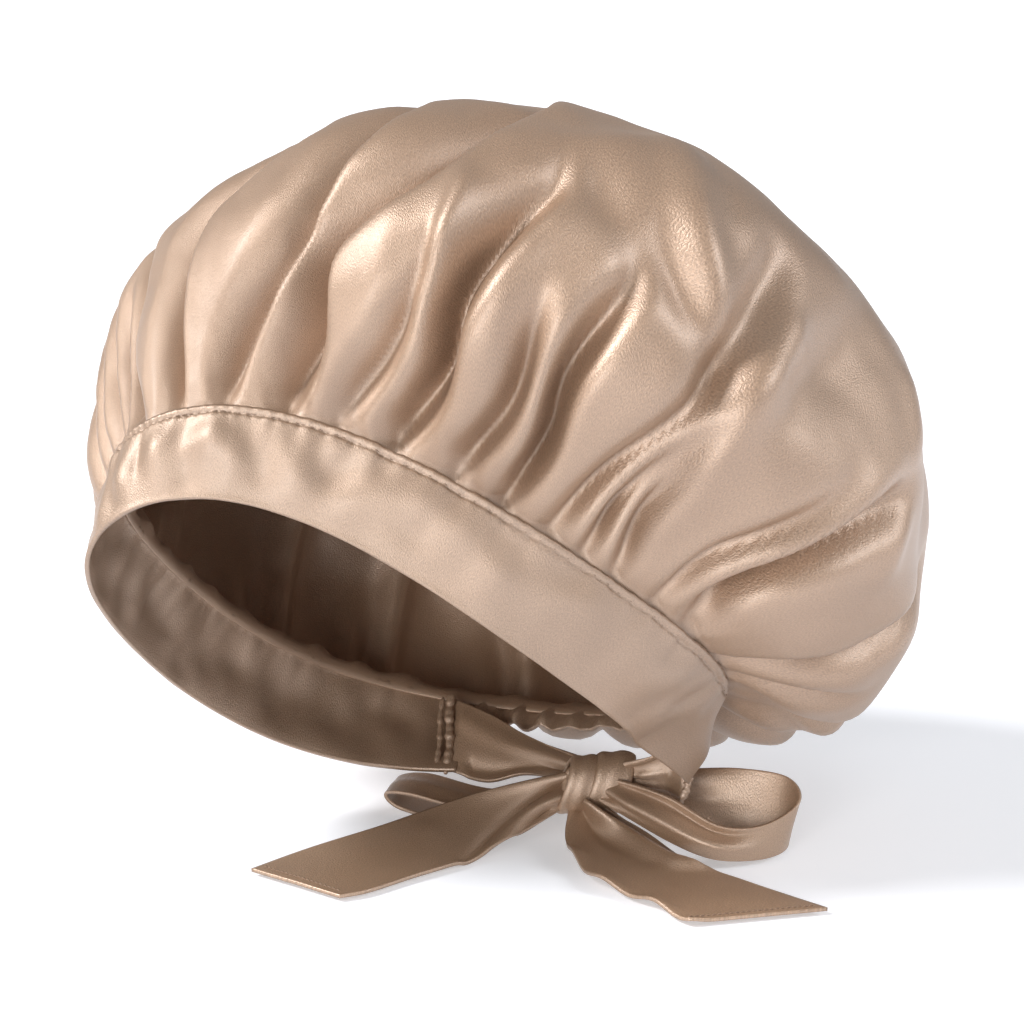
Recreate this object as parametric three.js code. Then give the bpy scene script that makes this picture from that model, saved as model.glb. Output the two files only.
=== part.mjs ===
// A satin sleep bonnet, as it stands when it is worn: a puffed crown gathered into a flat front
// band, an elastic casing across the nape, and two ties knotted in a bow under it.
//
// Millimetres. +Z is up, the bonnet faces -Y and the wearer's left is +X. The origin is the
// middle of the head opening, in the plane of the band's lower edge. The shell is worked out
// upright in the head's own frame, then tipped back and to one side with the head. The bow is
// given directly in the upright frame, because its tails hang down to one level.

import * as THREE from 'three';

// ---- how the head tips the shell ----
const TIP_BACK = THREE.MathUtils.degToRad(37);
const TIP_TO_RIGHT = THREE.MathUtils.degToRad(21);

// ---- the head opening, two half ellipses that meet at the ears ----
const OPENING = { front: 106, back: 123, halfWidth: 83, skew: -14 };
// How far the edge waves out of its plane: amounts of the second and third harmonics.
const EDGE_WAVE = { cos2: 4.7, sin2: 7.2, cos3: -3.4, sin3: 2.1 };

// ---- the band ----
const BAND_END = 152;              // degrees round from the forehead, on both sides
const BAND_WIDTH = 38.2;
const BAND_WIDTH_AT_FRONT = -5.8;  // the front is narrower and the back wider by this
const BAND_LEAN = { mean: 16, front: -16, left: 25, twice: 6 };   // degrees outward
const BAND_BULGE = 2.0;
const BAND_WALL = 1.8;
const CORNER_PULL = { back: 33, from: 140 };   // the left tie draws the band's lower corner back

// ---- the crown ----
const CROWN_CENTRE = new THREE.Vector3(23, 42, 94);
const CROWN_TIP = { x: -6, y: -6 };   // degrees
const CROWN_REACH = { side: 156, front: 157, back: 169, up: 115, down: 120 };
const CROWN_SQUARENESS = 2.1;         // 2 is an ellipsoid
const CROWN_TURN_IN = 0.13;           // the last share of a rib turns in to the seam
const CROWN_WALL = 1.6;
const CROWN_RIBS = 120;
const CROWN_RINGS = 13;

// Pleats let into the seam. at: degrees round from the forehead. lean: degrees that it drifts
// by its far end. reach: share of the rib that it runs. depth and width: mm and degrees.
const PLEATS = [
  { at: -164, lean: 2, reach: 0.28, depth: 5, width: 5.0 },
  { at: -150, lean: -2, reach: 0.20, depth: 5, width: 5.0 },
  { at: -136, lean: 2, reach: 0.26, depth: 6, width: 5.0 },
  { at: -122, lean: 0, reach: 0.24, depth: 5, width: 4.5 },
  { at: -108, lean: -4, reach: 0.30, depth: 6, width: 5.0 },
  { at: -94, lean: 3, reach: 0.24, depth: 5, width: 4.5 },
  { at: -80, lean: -5, reach: 0.34, depth: 6, width: 5.0 },
  { at: -66, lean: -6, reach: 0.28, depth: 6, width: 4.5 },
  { at: -53, lean: -10, reach: 0.32, depth: 5, width: 4.5 },
  { at: -40, lean: -12, reach: 0.34, depth: 5, width: 4.5 },
  { at: -27, lean: -12, reach: 0.34, depth: 4, width: 4.5 },
  { at: -15, lean: -8, reach: 0.30, depth: 4, width: 4.0 },
  { at: -3, lean: -12, reach: 0.30, depth: 4, width: 4.0 },
  { at: 9, lean: -22, reach: 0.31, depth: 5, width: 4.0 },
  { at: 20, lean: 3, reach: 0.27, depth: 5, width: 4.0 },
  { at: 31, lean: 20, reach: 0.35, depth: 5, width: 4.0 },
  { at: 44, lean: 31, reach: 0.45, depth: 7, width: 4.5 },
  { at: 54, lean: 16, reach: 0.28, depth: 5, width: 3.5 },
  { at: 63, lean: 16, reach: 0.31, depth: 8, width: 4.0 },
  { at: 74, lean: 6, reach: 0.20, depth: 5, width: 3.5 },
  { at: 82, lean: 7, reach: 0.35, depth: 7, width: 4.0 },
  { at: 90, lean: 6, reach: 0.24, depth: 6, width: 3.5 },
  { at: 97, lean: 2, reach: 0.16, depth: 4, width: 3.0 },
  { at: 103, lean: -4, reach: 0.14, depth: 4, width: 3.0 },
  { at: 110, lean: 3, reach: 0.28, depth: 7, width: 4.0 },
  { at: 119, lean: 0, reach: 0.20, depth: 6, width: 4.0 },
  { at: 129, lean: 0, reach: 0.12, depth: 5, width: 4.0 },
  { at: 141, lean: 4, reach: 0.18, depth: 6, width: 4.5 },
  { at: 154, lean: 2, reach: 0.12, depth: 5, width: 4.5 },
  { at: 168, lean: -2, reach: 0.26, depth: 5, width: 5.0 },
  { at: 180, lean: 3, reach: 0.18, depth: 5, width: 4.5 },
];

// Broad dents between the pleats' ends, higher up on the puff. at and down: the middle of the
// dent, as degrees from the forehead and share down the rib. depth: mm. across and along: how
// far it spreads, in degrees and as a share of the rib.
const DENTS = [
  { at: 95, down: 0.74, depth: 7, across: 5, along: 0.05 },
  { at: 107, down: 0.67, depth: 6, across: 6, along: 0.07 },
  { at: 157, down: 0.52, depth: 5, across: 9, along: 0.10 },
  { at: -166, down: 0.54, depth: 5, across: 9, along: 0.10 },
  { at: -126, down: 0.54, depth: 5, across: 9, along: 0.10 },
  { at: -80, down: 0.52, depth: 5, across: 9, along: 0.10 },
  { at: -32, down: 0.50, depth: 4, across: 10, along: 0.10 },
];

// ---- the nape casing ----
const CASING_HEIGHT = 15;
const CASING_WALL = 2.4;
const CASING_GATHERS = 9;
const CASING_RIPPLE = 2.0;

// ---- the bow ----
const STRAP_WALL = 1.6;
const KNOT = { x: 39, y: 105, z: -69, width: 23, depth: 19, height: 24 };
const GAP = 0.35;

// Straps, as stations along each one: the middle of its two edges a and b, upright frame.
const TIE_LEFT = [
  { ax: 82, ay: 126, az: -32, bx: 76, by: 113, bz: -69 },
  { ax: 70, ay: 119, az: -46, bx: 66, by: 117, bz: -69 },
  { ax: 62, ay: 112, az: -54, bx: 60, by: 114, bz: -68 },
  { ax: 52, ay: 108, az: -59, bx: 52, by: 110, bz: -66 },
];
const TIE_RIGHT = [
  { ax: -36, ay: 115, az: -64, bx: -22, by: 95, bz: -76 },
  { ax: -22, ay: 113, az: -63, bx: -9, by: 95, bz: -76 },
  { ax: -3, ay: 113, az: -62, bx: 7, by: 101, bz: -71 },
  { ax: 24, ay: 112, az: -62, bx: 25, by: 106, bz: -69 },
];
const LOOP_LEFT = [
  { ax: 52, ay: 105, az: -64, bx: 54, by: 100, bz: -72 },
  { ax: 76, ay: 107, az: -68, bx: 78, by: 101, bz: -81 },
  { ax: 96, ay: 117, az: -69, bx: 95, by: 108, bz: -86 },
  { ax: 103, ay: 134, az: -67, bx: 104, by: 120, bz: -88 },
  { ax: 101, ay: 148, az: -65, bx: 107, by: 131, bz: -89 },
  { ax: 86, ay: 148, az: -65, bx: 97, by: 137, bz: -88 },
  { ax: 69, ay: 137, az: -66, bx: 77, by: 129, bz: -86 },
  { ax: 50, ay: 121, az: -68, bx: 53, by: 115, bz: -78 },
];
const LOOP_RIGHT = [
  { ax: 26, ay: 103, az: -73, bx: 27, by: 98, bz: -77 },
  { ax: -4, ay: 95, az: -79, bx: 4, by: 80, bz: -82 },
  { ax: -38, ay: 92, az: -79, bx: -30, by: 71, bz: -80 },
  { ax: -52, ay: 89, az: -83, bx: -42, by: 71, bz: -83 },
  { ax: -46, ay: 93, az: -89, bx: -36, by: 75, bz: -89 },
  { ax: -17, ay: 97, az: -88, bx: -8, by: 79, bz: -88 },
  { ax: 25, ay: 108, az: -78, bx: 28, by: 100, bz: -81 },
];
const TAIL_LEFT = [
  { ax: 40, ay: 93, az: -80, bx: 50, by: 99, bz: -78 },
  { ax: 50, ay: 84, az: -85, bx: 65, by: 106, bz: -84 },
  { ax: 77, ay: 68, az: -88, bx: 94, by: 98, bz: -88 },
  { ax: 99, ay: 63, az: -89, bx: 117, by: 99, bz: -89 },
  { ax: 128, ay: 56, az: -89, bx: 157, by: 97, bz: -89 },
];
const TAIL_RIGHT = [
  { ax: 25, ay: 94, az: -64, bx: 33, by: 90, bz: -79 },
  { ax: 15, ay: 80, az: -69, bx: 28, by: 71, bz: -84 },
  { ax: 2, ay: 66, az: -74, bx: 25, by: 51, bz: -88 },
  { ax: -12, ay: 42, az: -81, bx: 20, by: 21, bz: -89 },
  { ax: -25, ay: 12, az: -86, bx: 18, by: -1, bz: -89 },
  { ax: -31, ay: -14, az: -89, bx: 14, by: -12, bz: -89 },
];

// ---- materials ----
const satin = (name, color) => new THREE.MeshStandardMaterial({
  name, color, roughness: 0.38, metalness: 0,
});
const CROWN_SATIN = satin('crown_satin', 0xc6a78d);
const BAND_SATIN = satin('band_satin', 0xcbaf97);
const TIE_SATIN = satin('tie_satin', 0xbd9c80);

const rad = THREE.MathUtils.degToRad;
const smooth = (low, high, value) => THREE.MathUtils.smoothstep(value, low, high);

// ---------------------------------------------------------------- the opening and the seam

// The opening's edge at an angle from the forehead, and which way is outward there.
function openingEdge(angle) {
  const t = rad(angle);
  const half = Math.cos(t) > 0 ? OPENING.front : OPENING.back;
  const across = OPENING.halfWidth * Math.sin(t) + OPENING.skew * Math.sin(2 * t);
  const along = half * Math.cos(t);
  const wave = EDGE_WAVE.cos2 * Math.cos(2 * t) + EDGE_WAVE.sin2 * Math.sin(2 * t)
    + EDGE_WAVE.cos3 * Math.cos(3 * t) + EDGE_WAVE.sin3 * Math.sin(3 * t);
  const outward = new THREE.Vector3(
    Math.sin(t) / OPENING.halfWidth, -Math.cos(t) / half, 0).normalize();
  return { point: new THREE.Vector3(across, -along, wave), outward };
}

// The seam that joins band and crown, one band width up from the opening's edge.
function seam(angle) {
  const t = rad(angle);
  const { point, outward } = openingEdge(angle);
  const width = BAND_WIDTH + BAND_WIDTH_AT_FRONT * Math.cos(t);
  const lean = rad(BAND_LEAN.mean + BAND_LEAN.front * Math.cos(t)
    + BAND_LEAN.left * Math.sin(t) + BAND_LEAN.twice * Math.cos(2 * t));
  return point.clone()
    .addScaledVector(outward, width * Math.sin(lean))
    .add(new THREE.Vector3(0, 0, width * Math.cos(lean)));
}

// ---------------------------------------------------------------- closed cloth walls

// Pushes a wall's middle surface out by half its thickness on both sides and closes the rims.
// middle(u, v) gives a point; wrap closes u on itself; pole makes the first row one point.
function clothWall(middle, columns, rows, wall, { wrap = false, pole = false } = {}) {
  const columnCount = wrap ? columns : columns + 1;
  const firstRow = pole ? 1 : 0;
  const step = 1e-3;
  const sides = [wall / 2, -wall / 2];
  const positions = [];
  const indices = [];
  const normalAt = (u, v) => {
    const low = wrap ? u - step : Math.max(0, u - step);
    const high = wrap ? u + step : Math.min(1, u + step);
    const alongU = middle(high, v).sub(middle(low, v));
    const alongV = middle(u, Math.min(1, v + step)).sub(middle(u, Math.max(0, v - step)));
    return alongU.cross(alongV).normalize();
  };
  const index = (side, i, j) => {
    const start = side * (columnCount * (rows + 1 - firstRow) + firstRow);
    if (j < firstRow) return start;
    return start + firstRow + (j - firstRow) * columnCount + (wrap ? i % columnCount : i);
  };
  for (const offset of sides) {
    if (pole) {
      const top = middle(0, 0);
      const inward = middle(0, 0.02).add(middle(0.5, 0.02)).multiplyScalar(0.5).sub(top);
      const up = inward.normalize().multiplyScalar(-offset);
      positions.push(...top.add(up).toArray());
    }
    for (let j = firstRow; j <= rows; j += 1) {
      for (let i = 0; i < columnCount; i += 1) {
        const u = i / columns;
        const v = j / rows;
        positions.push(...middle(u, v).addScaledVector(normalAt(u, v), offset).toArray());
      }
    }
  }
  const quad = (a, b, c, d) => indices.push(a, b, c, a, c, d);
  for (let j = 0; j < rows; j += 1) {
    for (let i = 0; i < columns; i += 1) {
      if (j < firstRow) {
        indices.push(index(0, i, 0), index(0, i, 1), index(0, i + 1, 1));
        indices.push(index(1, i, 0), index(1, i + 1, 1), index(1, i, 1));
      } else {
        quad(index(0, i, j), index(0, i, j + 1), index(0, i + 1, j + 1), index(0, i + 1, j));
        quad(index(1, i, j), index(1, i + 1, j), index(1, i + 1, j + 1), index(1, i, j + 1));
      }
    }
  }
  for (let i = 0; i < columns; i += 1) {
    quad(index(0, i, rows), index(1, i, rows), index(1, i + 1, rows), index(0, i + 1, rows));
    if (!pole) quad(index(0, i, 0), index(0, i + 1, 0), index(1, i + 1, 0), index(1, i, 0));
  }
  if (!wrap) {
    for (let j = 0; j < rows; j += 1) {
      quad(index(0, 0, j), index(1, 0, j), index(1, 0, j + 1), index(0, 0, j + 1));
      quad(index(0, columns, j), index(0, columns, j + 1),
        index(1, columns, j + 1), index(1, columns, j));
    }
  }
  const geometry = new THREE.BufferGeometry();
  geometry.setAttribute('position', new THREE.Float32BufferAttribute(positions, 3));
  geometry.setIndex(indices);
  geometry.computeVertexNormals();
  return facingOut(geometry);
}

// Turns a closed mesh's faces over when it is inside out.
function facingOut(geometry) {
  const position = geometry.attributes.position;
  const index = geometry.index.array;
  const corner = (k) => new THREE.Vector3().fromBufferAttribute(position, index[k]);
  let volume = 0;
  for (let k = 0; k < index.length; k += 3) {
    volume += corner(k).dot(corner(k + 1).cross(corner(k + 2)));
  }
  if (volume < 0) {
    for (let k = 0; k < index.length; k += 3) {
      const swap = index[k + 1];
      index[k + 1] = index[k + 2];
      index[k + 2] = swap;
    }
    geometry.computeVertexNormals();
  }
  return geometry;
}

function named(name, geometry, material) {
  const mesh = new THREE.Mesh(geometry, material);
  mesh.name = name;
  return mesh;
}

// ---------------------------------------------------------------- the crown

const crownTurn = new THREE.Matrix4().makeRotationX(rad(CROWN_TIP.x))
  .multiply(new THREE.Matrix4().makeRotationY(rad(CROWN_TIP.y)));
const crownTurnBack = crownTurn.clone().invert();

// How far the puffed crown stands from its centre, in a unit direction.
function crownReach(direction) {
  const front = direction.y < 0 ? CROWN_REACH.front : CROWN_REACH.back;
  const height = direction.z > 0 ? CROWN_REACH.up : CROWN_REACH.down;
  const sum = Math.abs(direction.x / CROWN_REACH.side) ** CROWN_SQUARENESS
    + Math.abs(direction.y / front) ** CROWN_SQUARENESS
    + Math.abs(direction.z / height) ** CROWN_SQUARENESS;
  return sum ** (-1 / CROWN_SQUARENESS);
}

// How deep the pleats press in at an angle and a share down the rib from the top.
function pleatDepth(angle, down) {
  let depth = 0;
  for (const pleat of PLEATS) {
    const run = (1 - down) / pleat.reach;
    if (run < 1.25) {
      let apart = angle - (pleat.at + pleat.lean * Math.min(run, 1));
      apart -= 360 * Math.round(apart / 360);
      const fade = (1 - smooth(0.5, 1.25, run)) * smooth(-0.15, 0.25, run);
      depth += pleat.depth * fade * Math.exp(-((apart / pleat.width) ** 2));
    }
  }
  return depth;
}

// How far the broad dents press the crown in there, in mm.
function dentDepth(angle, down) {
  let depth = 0;
  for (const dent of DENTS) {
    const apart = (angle - dent.at - 360 * Math.round((angle - dent.at) / 360)) / dent.across;
    const below = (down - dent.down) / dent.along;
    depth += dent.depth * Math.exp(-(apart ** 2) - below ** 2);
  }
  return depth;
}

// A point of the crown: angle from the forehead, and share down the rib from top to seam.
function crownPoint(angle, down) {
  const edge = seam(angle).add(new THREE.Vector3(0, 0, GAP + BAND_WALL / 2));
  const toSeam = edge.sub(CROWN_CENTRE).applyMatrix4(crownTurnBack);
  const seamReach = toSeam.length();
  const seamPolar = Math.acos(toSeam.z / seamReach);
  const round = Math.atan2(toSeam.y, toSeam.x);
  const polar = down * seamPolar;
  const direction = new THREE.Vector3(
    Math.sin(polar) * Math.cos(round), Math.sin(polar) * Math.sin(round), Math.cos(polar));
  const turnIn = Math.max(0, (down - 1 + CROWN_TURN_IN) / CROWN_TURN_IN) ** 2.5;
  const puffed = crownReach(direction) - pleatDepth(angle, down) - dentDepth(angle, down);
  const reach = THREE.MathUtils.lerp(puffed, seamReach, turnIn);
  return direction.multiplyScalar(reach).applyMatrix4(crownTurn).add(CROWN_CENTRE);
}

function makeCrown() {
  const middle = (u, v) => crownPoint(360 * u - 180, Math.max(v, 1e-3) ** 0.8);
  const geometry = clothWall(
    middle, CROWN_RIBS, CROWN_RINGS, CROWN_WALL, { wrap: true, pole: true });
  return named('crown', geometry, CROWN_SATIN);
}

// ---------------------------------------------------------------- the band and the nape casing

function makeFrontBand() {
  const middle = (u, v) => {
    const angle = THREE.MathUtils.lerp(-BAND_END, BAND_END, u);
    const { point, outward } = openingEdge(angle);
    point.y += CORNER_PULL.back * smooth(CORNER_PULL.from, BAND_END, angle);
    return point.lerp(seam(angle), v).addScaledVector(outward, BAND_BULGE * Math.sin(Math.PI * v));
  };
  return named('front_band', clothWall(middle, 72, 3, BAND_WALL), BAND_SATIN);
}

// The casing hangs from the crown's seam across the nape, ruched by the elastic inside it.
function makeNapeCasing() {
  const clearance = 1;
  const middle = (u, v) => {
    const angle = THREE.MathUtils.lerp(BAND_END + clearance, 360 - BAND_END - clearance, u);
    const { point, outward } = openingEdge(angle);
    const top = seam(angle);
    const drop = point.sub(top).normalize().multiplyScalar(CASING_HEIGHT * (1 - v));
    const ripple = CASING_RIPPLE * Math.sin(Math.PI * 2 * CASING_GATHERS * u);
    return top.add(drop).addScaledVector(outward, ripple * Math.sin(Math.PI * v));
  };
  return named('nape_casing', clothWall(middle, 54, 2, CASING_WALL), BAND_SATIN);
}

// ---------------------------------------------------------------- the bow

// A flat strap lofted through its stations, both edges on smooth curves.
function strap(name, stations, steps) {
  const edgeA = new THREE.CatmullRomCurve3(
    stations.map((s) => new THREE.Vector3(s.ax, s.ay, s.az)), false, 'centripetal');
  const edgeB = new THREE.CatmullRomCurve3(
    stations.map((s) => new THREE.Vector3(s.bx, s.by, s.bz)), false, 'centripetal');
  const middle = (u, v) => edgeA.getPoint(u).lerp(edgeB.getPoint(u), v);
  return named(name, clothWall(middle, steps, 2, STRAP_WALL), TIE_SATIN);
}

// The knot is a soft lump, a little squarer than an ellipsoid.
function makeKnot() {
  const geometry = new THREE.SphereGeometry(1, 20, 12);
  geometry.deleteAttribute('uv');
  geometry.deleteAttribute('normal');
  const position = geometry.attributes.position;
  const squarer = (value) => Math.sign(value) * Math.abs(value) ** 0.8;
  for (let k = 0; k < position.count; k += 1) {
    position.setXYZ(k,
      KNOT.x + KNOT.width / 2 * squarer(position.getX(k)),
      KNOT.y + KNOT.depth / 2 * squarer(position.getY(k)),
      KNOT.z + KNOT.height / 2 * squarer(position.getZ(k)));
  }
  geometry.computeVertexNormals();
  return named('bow_knot', geometry, TIE_SATIN);
}

// ---------------------------------------------------------------- the bonnet

function makeBonnet() {
  const bonnet = new THREE.Group();
  const tippedBack = new THREE.Group();
  const tippedAside = new THREE.Group();
  tippedBack.rotation.x = -TIP_BACK;
  tippedAside.rotation.y = -TIP_TO_RIGHT;
  tippedBack.add(makeCrown(), makeFrontBand(), makeNapeCasing());
  tippedAside.add(tippedBack);
  bonnet.add(tippedAside);
  bonnet.add(
    strap('tie_left', TIE_LEFT, 10),
    strap('tie_right', TIE_RIGHT, 12),
    makeKnot(),
    strap('bow_loop_left', LOOP_LEFT, 28),
    strap('bow_loop_right', LOOP_RIGHT, 28),
    strap('tail_left', TAIL_LEFT, 16),
    strap('tail_right', TAIL_RIGHT, 18),
  );
  return bonnet;
}

const bonnet = makeBonnet();

export default bonnet;
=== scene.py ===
"""A champagne satin sleep bonnet, filled out as it is worn, its ties knotted in a bow at the nape."""

import math

import bpy
import numpy as np
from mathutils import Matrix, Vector, noise


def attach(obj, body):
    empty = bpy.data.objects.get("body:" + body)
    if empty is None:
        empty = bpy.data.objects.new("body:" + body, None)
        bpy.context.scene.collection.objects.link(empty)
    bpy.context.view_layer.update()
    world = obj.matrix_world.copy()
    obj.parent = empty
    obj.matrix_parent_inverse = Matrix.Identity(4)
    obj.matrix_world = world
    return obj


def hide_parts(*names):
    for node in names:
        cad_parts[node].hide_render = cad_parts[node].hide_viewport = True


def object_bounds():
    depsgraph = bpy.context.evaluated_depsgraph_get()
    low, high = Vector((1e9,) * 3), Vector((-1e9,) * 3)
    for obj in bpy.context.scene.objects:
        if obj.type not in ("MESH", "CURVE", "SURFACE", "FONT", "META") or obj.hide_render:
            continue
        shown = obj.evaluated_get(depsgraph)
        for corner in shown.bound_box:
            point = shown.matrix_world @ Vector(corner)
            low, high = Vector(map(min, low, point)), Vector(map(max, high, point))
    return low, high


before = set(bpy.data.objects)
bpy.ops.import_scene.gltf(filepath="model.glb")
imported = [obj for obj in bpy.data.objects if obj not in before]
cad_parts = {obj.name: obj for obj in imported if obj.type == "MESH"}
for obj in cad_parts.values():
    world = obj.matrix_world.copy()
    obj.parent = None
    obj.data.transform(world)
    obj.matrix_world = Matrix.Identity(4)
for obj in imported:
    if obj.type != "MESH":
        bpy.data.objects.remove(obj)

cad_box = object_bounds()

# ---------------------------------------------------------------- Studio
# A pale sweep of paper under and behind the bonnet, lit by a broad window-like source from the
# front left, a weaker one from the right and a low fill, so that the satin shows soft highlights.
# The camera stands in front of the wearer's left, a little above the bonnet.

floor_z = cad_box[0].z - 0.0006
CAMERA_AZIMUTH = math.radians(45)
CAMERA_RISE = math.radians(16)
CAMERA_DISTANCE = 1.10
LENS = 104.4


def plain_material(name, colour, roughness):
    material = bpy.data.materials.new(name)
    material.use_nodes = True
    shader = material.node_tree.nodes["Principled BSDF"]
    shader.inputs["Base Color"].default_value = (*colour, 1)
    shader.inputs["Roughness"].default_value = roughness
    return material


def make_floor():
    half = 40.0
    mesh = bpy.data.meshes.new("paper_sweep")
    corners = [(-half, -half, floor_z), (half, -half, floor_z), (half, half, floor_z),
               (-half, half, floor_z)]
    mesh.from_pydata(corners, [], [(0, 1, 2, 3)])
    floor = bpy.data.objects.new("paper_sweep", mesh)
    bpy.context.collection.objects.link(floor)
    paper = plain_material("paper", (0.72, 0.74, 0.79), 0.9)
    glow = paper.node_tree.nodes["Principled BSDF"].inputs
    glow["Emission Color"].default_value = (0.97, 0.98, 1.0, 1)
    glow["Emission Strength"].default_value = 0.36
    mesh.materials.append(paper)


def make_sun(name, azimuth, rise, strength, softness, colour=(1, 1, 1)):
    sun = bpy.data.lights.new(name, "SUN")
    sun.energy = strength
    sun.angle = math.radians(softness)
    sun.color = colour
    lamp = bpy.data.objects.new(name, sun)
    a, e = math.radians(azimuth), math.radians(rise)
    away = Vector((math.sin(a) * math.cos(e), -math.cos(a) * math.cos(e), math.sin(e)))
    lamp.rotation_euler = (-away).to_track_quat("-Z", "Y").to_euler()
    bpy.context.collection.objects.link(lamp)


def make_camera():
    a, e = CAMERA_AZIMUTH, CAMERA_RISE
    away = Vector((math.sin(a) * math.cos(e), -math.cos(a) * math.cos(e), math.sin(e)))
    right = Vector((math.cos(a), math.sin(a), 0))
    up = away.cross(right)
    aim = right * 0.0674 + up * 0.0507
    camera = bpy.data.objects.new("camera", bpy.data.cameras.new("camera"))
    camera.data.lens = LENS
    camera.location = away * CAMERA_DISTANCE
    camera.rotation_euler = (aim - camera.location).to_track_quat("-Z", "Y").to_euler()
    bpy.context.collection.objects.link(camera)
    bpy.context.scene.camera = camera


make_floor()
make_camera()
make_sun("window", -34, 44, 3.5, 16, (1.0, 0.99, 0.975))
make_sun("side_panel", 122, 30, 1.3, 22, (0.97, 0.985, 1.0))
make_sun("front_fill", 20, 9, 2.0, 24, (1.0, 0.98, 0.95))

world = bpy.data.worlds.new("studio")
world.use_nodes = True
world.node_tree.nodes["Background"].inputs["Color"].default_value = (0.97, 0.98, 1.0, 1)
world.node_tree.nodes["Background"].inputs["Strength"].default_value = 0.36
bpy.context.scene.world = world
bpy.context.scene.view_settings.view_transform = "Standard"


# ---------------------------------------------------------------- Satin
# One cloth throughout: a champagne polyester satin with a fine slanting grain and a soft, broad
# shine. The band and the ties are the same cloth pressed flat, so they shine a little more evenly;
# the band's copy has its colour painted a little darker, as painted shade, and the ties' copy a
# little lighter, as painted light from the front.

def satin(name, colour, shade, roughness, grain=0.10):
    material = bpy.data.materials.new(name)
    material.use_nodes = True
    nodes, links = material.node_tree.nodes, material.node_tree.links
    shader = nodes["Principled BSDF"]
    place = nodes.new("ShaderNodeUVMap")
    place.uv_map = "cloth"
    # Slow drift between the cloth's colour and a deeper one.
    drift = nodes.new("ShaderNodeTexNoise")
    drift.inputs["Scale"].default_value = 14
    drift.inputs["Detail"].default_value = 3
    links.new(place.outputs["UV"], drift.inputs["Vector"])
    spread = nodes.new("ShaderNodeMapRange")
    spread.inputs["From Min"].default_value = 0.3
    spread.inputs["From Max"].default_value = 0.7
    links.new(drift.outputs["Fac"], spread.inputs["Value"])
    # The weave: short floats of thread that slant across the cloth.
    slant = nodes.new("ShaderNodeMapping")
    slant.inputs["Rotation"].default_value = (0, 0, math.radians(33))
    slant.inputs["Scale"].default_value = (2200, 1500, 1)
    links.new(place.outputs["UV"], slant.inputs["Vector"])
    floats = nodes.new("ShaderNodeTexNoise")
    floats.inputs["Scale"].default_value = 1.0
    floats.inputs["Detail"].default_value = 2.5
    links.new(slant.outputs["Vector"], floats.inputs["Vector"])
    colour_mix = nodes.new("ShaderNodeMix")
    colour_mix.data_type = "RGBA"
    colour_mix.inputs["A"].default_value = (*shade, 1)
    colour_mix.inputs["B"].default_value = (*colour, 1)
    links.new(spread.outputs["Result"], colour_mix.inputs["Factor"])
    speck = nodes.new("ShaderNodeMix")
    speck.data_type = "RGBA"
    speck.blend_type = "OVERLAY"
    speck.inputs["Factor"].default_value = 0.6
    links.new(colour_mix.outputs["Result"], speck.inputs["A"])
    links.new(floats.outputs["Fac"], speck.inputs["B"])
    links.new(speck.outputs["Result"], shader.inputs["Base Color"])
    gloss = nodes.new("ShaderNodeMapRange")
    gloss.inputs["To Min"].default_value = roughness - 0.10
    gloss.inputs["To Max"].default_value = roughness + 0.12
    links.new(floats.outputs["Fac"], gloss.inputs["Value"])
    links.new(gloss.outputs["Result"], shader.inputs["Roughness"])
    bump = nodes.new("ShaderNodeBump")
    bump.inputs["Strength"].default_value = grain
    bump.inputs["Distance"].default_value = 0.0006
    links.new(floats.outputs["Fac"], bump.inputs["Height"])
    links.new(bump.outputs["Normal"], shader.inputs["Normal"])
    shader.inputs["Metallic"].default_value = 0.42
    shader.inputs["IOR"].default_value = 1.8
    shader.inputs["Specular IOR Level"].default_value = 0.9
    shader.inputs["Anisotropic"].default_value = 0.3
    shader.inputs["Coat Weight"].default_value = 0.35
    shader.inputs["Coat Roughness"].default_value = 0.36
    shader.inputs["Subsurface Weight"].default_value = 0.05
    shader.inputs["Subsurface Radius"].default_value = (1.0, 0.55, 0.35)
    shader.inputs["Subsurface Scale"].default_value = 0.0022
    return material


crown_satin = satin("crown_satin", (0.385, 0.250, 0.163), (0.305, 0.190, 0.119), 0.44, 0.45)
# The band's copy: the crown's colour painted a little darker, as painted shade.
band_satin = satin("band_satin", (0.365, 0.242, 0.162), (0.295, 0.190, 0.122), 0.45, 0.45)
# The ties' copy: the crown's colour painted a little lighter, as painted light from the front.
tie_satin = satin("tie_satin", (0.41, 0.270, 0.176), (0.325, 0.206, 0.128), 0.42, 0.45)


# ---------------------------------------------------------------- Opening and seam
# Everything on the shell hangs from two lines that the sewing makes: the band's lower edge, which
# is two half ellipses meeting at the ears, and the seam one band width above it.
# Millimetres and degrees here, in the head's own upright frame; tip() stands it as it is worn.

TIP_BACK = math.radians(37)
TIP_TO_RIGHT = math.radians(21)
OPENING_FRONT, OPENING_BACK = 106, 123
OPENING_HALF_WIDTH, OPENING_SKEW = 83, -14
BAND_END = 152
MM = 0.001


def tip(points):
    """Points from the head's own frame, in millimetres, to the bonnet's, in metres."""
    x, y, z = np.moveaxis(points, -1, 0)
    y, z = (y * math.cos(TIP_BACK) + z * math.sin(TIP_BACK),
            z * math.cos(TIP_BACK) - y * math.sin(TIP_BACK))
    x, z = (x * math.cos(TIP_TO_RIGHT) - z * math.sin(TIP_TO_RIGHT),
            x * math.sin(TIP_TO_RIGHT) + z * math.cos(TIP_TO_RIGHT))
    return np.stack([x, y, z], -1) * MM


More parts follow.
